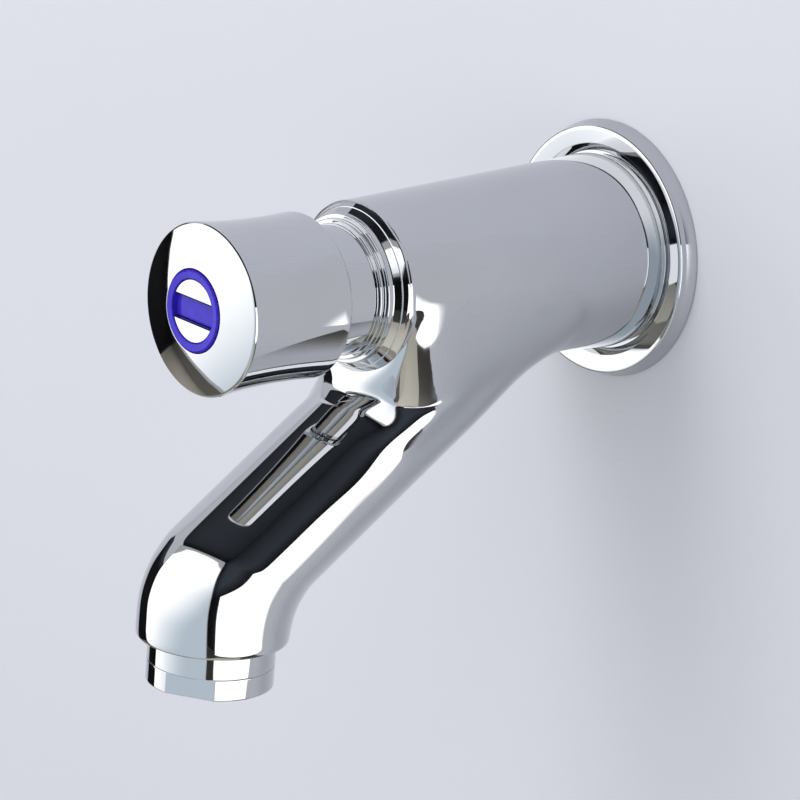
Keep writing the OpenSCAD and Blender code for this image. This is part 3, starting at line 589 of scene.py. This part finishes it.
# %% Threaded nipple
PITCH, TURNS, STEPS = 1.814, 7, 48
NIPPLE = [(7.5, -16), (9.2, -16), (9.3, -15.6), (9.3, -0.2), (10.2, 0), (10.2, 11), (7.5, 11)]
TOOTH = [(9.2, 0.6), (10.45, 1.3), (10.45, 1.6), (9.2, 2.3)]
nipple = turn(NIPPLE, [(0.3, (1, 4, 5))])
tooth = [nipple.verts.new((r * MM, y * MM, 0)) for r, y in TOOTH]
tooth_edges = [nipple.edges.new(pair) for pair in zip(tooth, tooth[1:] + tooth[:1])]
bmesh.ops.spin(nipple, geom=tooth + tooth_edges, cent=(0, 0, 0), axis=(0, 1, 0), angle=2 * pi * TURNS,
               steps=TURNS * STEPS, dvec=(0, PITCH / STEPS * MM, 0))
bmesh.ops.holes_fill(nipple, edges=[e for e in nipple.edges if e.is_boundary], sides=0)
close_up(nipple)
nipple = keep_piece("nipple", nipple, "tap_body", "brass", "inlet_nipple")

# %% Return spring
WIRE, COIL_R, COILS, COIL_STEPS = 0.65, 6.6, 7, 36
SPRING_START, SPRING_LENGTH = 16.7, 24.6
spring = bmesh.new()
bmesh.ops.create_circle(spring, cap_ends=False, radius=WIRE * MM, segments=12)
bmesh.ops.translate(spring, verts=spring.verts, vec=(COIL_R * MM, -SPRING_START * MM, 0))
bmesh.ops.spin(spring, geom=spring.verts[:] + spring.edges[:], cent=(0, 0, 0), axis=(0, -1, 0),
               angle=2 * pi * COILS, steps=COILS * COIL_STEPS,
               dvec=(0, -SPRING_LENGTH / (COILS * COIL_STEPS) * MM, 0))
bmesh.ops.holes_fill(spring, edges=[e for e in spring.edges if e.is_boundary], sides=0)
close_up(spring)
spring = keep_piece("spring", spring, "tap_body", "steel", "return_spring")
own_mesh(spring)

# %% [markdown]
# ## Finishes
# Chrome plate is only a thousandth of a millimetre thick, and takes its gloss from the polished brass under
# it. The inside parts are bare: machined brass, drawn steel, moulded rubber and acetal, and the index is a
# glossy blue moulding. A plain colour would look like plastic everywhere, so one helper lets the colour, the
# gloss and, on the duller ones, the relief vary with a fine noise in the piece's own coordinates.

# %% Materials
NOISE_LOW, NOISE_HIGH, RELIEF_DEPTH = 0.3, 0.7, 0.0002


def two_stops(ramp, first, second):
    """Set the two stops of a colour ramp, each a position and a colour."""
    for stop, (position, colour) in zip(ramp.color_ramp.elements, (first, second)):
        stop.position, stop.color = position, (*colour, 1)


def finish(name, colour, metallic, roughness, grain=900, bump=0.0, spread=0.25, shade=0.08):
    """Principled shader whose colour, gloss and relief vary a little with a fine noise."""
    mat = bpy.data.materials.new(name)
    mat.use_nodes = True
    nodes, links = mat.node_tree.nodes, mat.node_tree.links
    bsdf = nodes["Principled BSDF"]
    bsdf.inputs["Metallic"].default_value = metallic
    where = nodes.new("ShaderNodeTexCoord")
    noise = nodes.new("ShaderNodeTexNoise")
    noise.inputs["Scale"].default_value = grain
    noise.inputs["Detail"].default_value = 4
    links.new(where.outputs["Object"], noise.inputs["Vector"])
    tint = nodes.new("ShaderNodeValToRGB")
    dark = [c * (1 - shade) for c in colour]
    two_stops(tint, (NOISE_LOW, dark), (NOISE_HIGH, colour))
    links.new(noise.outputs["Fac"], tint.inputs["Fac"])
    links.new(tint.outputs["Color"], bsdf.inputs["Base Color"])
    gloss = nodes.new("ShaderNodeMapRange")
    gloss.inputs["From Min"].default_value = NOISE_LOW
    gloss.inputs["From Max"].default_value = NOISE_HIGH
    gloss.inputs["To Min"].default_value = roughness * (1 - spread)
    gloss.inputs["To Max"].default_value = roughness * (1 + spread)
    links.new(noise.outputs["Fac"], gloss.inputs["Value"])
    links.new(gloss.outputs["Result"], bsdf.inputs["Roughness"])
    if bump:
        relief = nodes.new("ShaderNodeBump")
        relief.inputs["Strength"].default_value = bump
        relief.inputs["Distance"].default_value = RELIEF_DEPTH
        links.new(noise.outputs["Fac"], relief.inputs["Height"])
        links.new(relief.outputs["Normal"], bsdf.inputs["Normal"])
    return mat


polished = finish("polished_chrome", (0.55, 0.56, 0.58), 1.0, 0.04, grain=60, spread=0.3, shade=0.03)
bright_brass = finish("machined_brass", (0.72, 0.52, 0.24), 1.0, 0.26, grain=1500, bump=0.1)
drawn_steel = finish("drawn_steel", (0.55, 0.56, 0.58), 1.0, 0.3, grain=1200, bump=0.1)
soft_rubber = finish("moulded_rubber", (0.03, 0.03, 0.032), 0.0, 0.62, grain=1600, bump=0.3, shade=0.3)
white_acetal = finish("satin_acetal", (0.80, 0.79, 0.75), 0.0, 0.42, grain=900, bump=0.15)
blue_index = finish("blue_moulding", (0.04, 0.022, 0.46), 0.0, 0.1, grain=700, bump=0.03, shade=0.2)
blue_index.node_tree.nodes["Principled BSDF"].inputs["Specular IOR Level"].default_value = 0.15
by_slot = {"chrome": polished, "brass": bright_brass, "steel": drawn_steel, "rubber": soft_rubber,
           "acetal": white_acetal, "index_blue": blue_index}
slot_of = {part["node"]: part["material_slot"] for part in frame["record"]["subparts"]}
for node, obj in frame["nodes"].items():
    obj.data.materials.clear()
    obj.data.materials.append(by_slot[slot_of[node]])
pieces = (body_casting, wall_plate, soft_ring, bonnet, button, dial, index, housing, nipple, spring)
for piece in pieces:
    piece.data.materials.append(by_slot[piece["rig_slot"]])
print(len(by_slot), "finishes on", len(frame["nodes"]), "CAD nodes and", len(pieces), "pieces")

# %% [markdown]
# ## Stage and light
# The tap hangs on a plain pale wall, well above a tan floor. On the right of the floor lies a patch that
# glows
# in its own tan colour: a painted pool of sunlight. They are single panels that count as stage, so they are
# no part of the tap. The wall is painted matt, so that it keeps the tap's soft shadow. Its back is clear, so
# that the nipple can be looked at from behind, and in reflections its right-hand end fades out. One soft
# lamp, which the chrome doesn't show, lights the wall from the upper left.

# %% Helpers for the stage
def stage_object(name, bm):
    """Turn a bmesh into an object of the stage. Gives back the object and its material's node tree."""
    mesh = bpy.data.meshes.new(name)
    bm.to_mesh(mesh)
    bm.free()
    obj = bpy.data.objects.new(name, mesh)
    scene.collection.objects.link(obj)
    mat = bpy.data.materials.new(name)
    mat.use_nodes = True
    mesh.materials.append(mat)
    print(name, len(mesh.polygons), "faces")
    return obj, mat.node_tree


def combined(tree, operation, first, second):
    """Output of a Math node over two other outputs."""
    node = tree.nodes.new("ShaderNodeMath")
    node.operation = operation
    tree.links.new(first, node.inputs[0])
    tree.links.new(second, node.inputs[1])
    return node.outputs["Value"]


def chosen(tree, share, first, second, end):
    """Mix two shaders by a share and send the result to the end node."""
    mix = tree.nodes.new("ShaderNodeMixShader")
    tree.links.new(share, mix.inputs["Fac"])
    tree.links.new(first, mix.inputs[1])
    tree.links.new(second, mix.inputs[2])
    tree.links.new(mix.outputs["Shader"], tree.nodes[end].inputs["Surface"])


# %% Wall, floor and lamp
def panel(name, across, deep, place, colour, upright=False, soft_end=None, glow=0.0):
    """Plain stage panel, matt in front and clear from behind, so the tap's back can be looked at too.

    A soft end is (start, stop): in reflections, the panel fades out between these places along x."""
    bm = bmesh.new()
    bmesh.ops.create_grid(bm, x_segments=4, y_segments=4, size=0.5)
    bmesh.ops.scale(bm, verts=bm.verts, vec=(across, deep, 1))
    if upright:
        bmesh.ops.rotate(bm, verts=bm.verts, cent=(0, 0, 0), matrix=Matrix.Rotation(pi / 2, 3, "X"))
    bmesh.ops.translate(bm, verts=bm.verts, vec=place)
    tree = stage_object(name, bm)[1]
    nodes, links = tree.nodes, tree.links
    bsdf = nodes["Principled BSDF"]
    bsdf.inputs["Base Color"].default_value = (*colour, 1)
    bsdf.inputs["Roughness"].default_value = 0.9
    # With a glow, the panel shines in its own colour: painted light from a panel that is no lamp.
    bsdf.inputs["Emission Color"].default_value = (*colour, 1)
    bsdf.inputs["Emission Strength"].default_value = glow
    clear = nodes.new("ShaderNodeBsdfTransparent")
    fade = nodes.new("ShaderNodeNewGeometry").outputs["Backfacing"]
    if soft_end:
        where = nodes.new("ShaderNodeTexCoord")
        parts_of_place = nodes.new("ShaderNodeSeparateXYZ")
        run = nodes.new("ShaderNodeMapRange")
        run.interpolation_type = "SMOOTHSTEP"
        run.inputs["From Min"].default_value, run.inputs["From Max"].default_value = soft_end
        ray = nodes.new("ShaderNodeLightPath")
        links.new(where.outputs["Object"], parts_of_place.inputs["Vector"])
        links.new(parts_of_place.outputs["X"], run.inputs["Value"])
        mirrored = combined(tree, "MULTIPLY", run.outputs["Result"], ray.outputs["Is Glossy Ray"])
        fade = combined(tree, "MAXIMUM", mirrored, fade)
    chosen(tree, fade, bsdf.outputs["BSDF"], clear.outputs["BSDF"], "Material Output")


panel("wall", 2.1, 1.6, (-0.46, 0, 0), (0.535, 0.54, 0.59), upright=True, soft_end=(0.042, 0.10))
panel("floor", 8.0, 6.0, (0, -1.5, -1.4), (0.80, 0.74, 0.62))
# This patch of floor glows in its own tan colour: a painted pool of sunlight.
panel("glowing_floor_patch", 2.2, 1.7, (1.4, -0.65, -1.39), (0.80, 0.75, 0.63), glow=0.65)

LAMP_PLACE, LAMP_AIM = Vector((-0.3, -0.5, 0.7)), Vector((-0.05, 0, 0.15))
wall_lamp = bpy.data.objects.new("wall_lamp", bpy.data.lights.new("wall_lamp", "AREA"))
wall_lamp.data.size, wall_lamp.data.energy = 0.5, 4.0
wall_lamp.location = LAMP_PLACE
wall_lamp.rotation_euler = (LAMP_AIM - LAMP_PLACE).to_track_quat("-Z", "Y").to_euler()
wall_lamp.visible_glossy = False
scene.collection.objects.link(wall_lamp)

# %% [markdown]
# Chrome has hardly any colour of its own: it shows the room. The background is pale, but a photographer
# hangs black cloth round polished metal, so that it shows some dark between the lights. The cloth is painted
# a lighter black towards the top, as painted light on its upper part. It ends high on the left, and on the
# right it stops short of the floor.

# %% Black cloth round the set
CLOTH_SIZE, CLOTH_MIDDLE = (4.2, 2.8, 3.6), (-0.8, -0.9, 0.4)
LEFT_TOP, RIGHT_FOOT = 0.9, -0.6
# The lighter black above, and the heights where the change runs, paint light on the cloth's upper part.
DEEP_BLACK, LIGHTER_UPPER_BLACK = (0.02, 0.02, 0.022), (0.085, 0.095, 0.115)
LIGHTER_FROM, LIGHTER_TO = 0.4, 0.75
tent = bmesh.new()
bmesh.ops.create_cube(tent, size=1.0)
bmesh.ops.scale(tent, verts=tent.verts, vec=CLOTH_SIZE)
bmesh.ops.translate(tent, verts=tent.verts, vec=CLOTH_MIDDLE)
for height in (LEFT_TOP, RIGHT_FOOT):
    bmesh.ops.bisect_plane(tent, geom=whole(tent), dist=1e-6, plane_co=(0, 0, height), plane_no=(0, 0, 1))


def left_open(face):
    height = face.calc_center_median().z
    above_left = face.normal.x < -0.5 and height > LEFT_TOP
    under_right = face.normal.x > 0.5 and height < RIGHT_FOOT
    return face.normal.y > 0.5 or face.normal.z < -0.5 or above_left or under_right


bmesh.ops.delete(tent, geom=[f for f in tent.faces if left_open(f)], context="FACES")
bmesh.ops.reverse_faces(tent, faces=tent.faces)
black_cloth, tree = stage_object("black_cloth", tent)
black_cloth.visible_camera = False
bsdf = tree.nodes["Principled BSDF"]
bsdf.inputs["Roughness"].default_value = 1.0
bsdf.inputs["Specular IOR Level"].default_value = 0.0
where = tree.nodes.new("ShaderNodeTexCoord")
parts_of_place = tree.nodes.new("ShaderNodeSeparateXYZ")
# Painted light: the cloth's colour runs from deep black low down to a lighter black high up.
cloth_lighter_above = tree.nodes.new("ShaderNodeValToRGB")
two_stops(cloth_lighter_above, (LIGHTER_FROM, DEEP_BLACK), (LIGHTER_TO, LIGHTER_UPPER_BLACK))
tree.links.new(where.outputs["Object"], parts_of_place.inputs["Vector"])
tree.links.new(parts_of_place.outputs["Z"], cloth_lighter_above.inputs["Fac"])
tree.links.new(cloth_lighter_above.outputs["Color"], bsdf.inputs["Base Color"])

# %% [markdown]
# In the cloth stand a few lit sheets. A wide one faces the wall and grows dimmer and bluer downwards and to
# its right, with a taller, dim curtain behind it. A small one stands on the right, reaching past the end of
# the wall. The dark gap between them, where the camera is, draws the black bands on the button's edge and
# down the nose.

# %% Lit sheets
def lit_sheet(name, centre, across, width, height, strength, far_end=(1, 1, 1), lean=0.0,
              change=(0.50, 0.73)):
    """Upright lit cloth. Between two shares of its width, its colour changes from white to far_end.

    With a lean, the line of the change is tilted."""
    bm = bmesh.new()
    bm.loops.layers.uv.new("across_and_up")
    bmesh.ops.create_grid(bm, x_segments=8, y_segments=8, size=0.5, calc_uvs=True)
    bmesh.ops.scale(bm, verts=bm.verts, vec=(width, height, 1))
    across = Vector((*across, 0)).normalized()
    up_z = Vector((0, 0, 1))
    bmesh.ops.transform(bm, verts=bm.verts,
                        matrix=Matrix((across, up_z, across.cross(up_z))).transposed().to_4x4())
    bmesh.ops.translate(bm, verts=bm.verts, vec=centre)
    sheet, tree = stage_object(name, bm)
    sheet.visible_camera = False
    nodes, links = tree.nodes, tree.links
    nodes.remove(nodes["Principled BSDF"])
    glow = nodes.new("ShaderNodeEmission")
    glow.inputs["Strength"].default_value = strength
    where = nodes.new("ShaderNodeTexCoord")
    slant = nodes.new("ShaderNodeVectorMath")
    slant.operation = "DOT_PRODUCT"
    slant.inputs[1].default_value = (1, -lean, 0)
    run = nodes.new("ShaderNodeValToRGB")
    run.color_ramp.interpolation = "EASE"
    two_stops(run, (change[0], (1, 1, 1)), (change[1], far_end))
    links.new(where.outputs["UV"], slant.inputs[0])
    links.new(slant.outputs["Value"], run.inputs["Fac"])
    links.new(run.outputs["Color"], glow.inputs["Color"])
    links.new(glow.outputs["Emission"], nodes["Material Output"].inputs["Surface"])


lit_sheet("front_sheet", (-0.75, -1.26, 0.15), (1, 0), 3.7, 2.46, 2.0, far_end=(0.39, 0.445, 0.49),
          lean=0.93, change=(0.095, 0.54))
lit_sheet("front_curtain", (-0.725, -1.32, 0.25), (1, 0), 3.85, 2.9, 0.55)
lit_sheet("side_sheet", (0.60, 0.055, -0.095), (0, 1), 1.09, 0.47, 2.2, far_end=(0.33, 0.335, 0.355),
          lean=-0.22, change=(0.79, 0.85))

# %% [markdown]
# The background is pale wherever the camera, a mirror or clear glass shows it. As a light it is nearly
# black, so that the sheets and the lamp do the lighting.

# %% Background
PALE_ROOM, DIM_LIGHT = (0.72, 0.73, 0.78, 1), (0.03, 0.03, 0.035, 1)
world = bpy.data.worlds.new("studio")
scene.world = world
world.use_nodes = True
tree = world.node_tree
dim = tree.nodes["Background"]
dim.inputs["Color"].default_value = DIM_LIGHT
pale = tree.nodes.new("ShaderNodeBackground")
pale.inputs["Color"].default_value = PALE_ROOM
ray = tree.nodes.new("ShaderNodeLightPath")
shown = combined(tree, "MAXIMUM", ray.outputs["Is Camera Ray"], ray.outputs["Is Glossy Ray"])
shown = combined(tree, "MAXIMUM", shown, ray.outputs["Is Transmission Ray"])
chosen(tree, shown, dim.outputs["Background"], pale.outputs["Background"], "World Output")
print("background", PALE_ROOM[:3], "where it is seen")

# %% View transform
scene.view_settings.view_transform = "Standard"
bpy.context.view_layer.update()
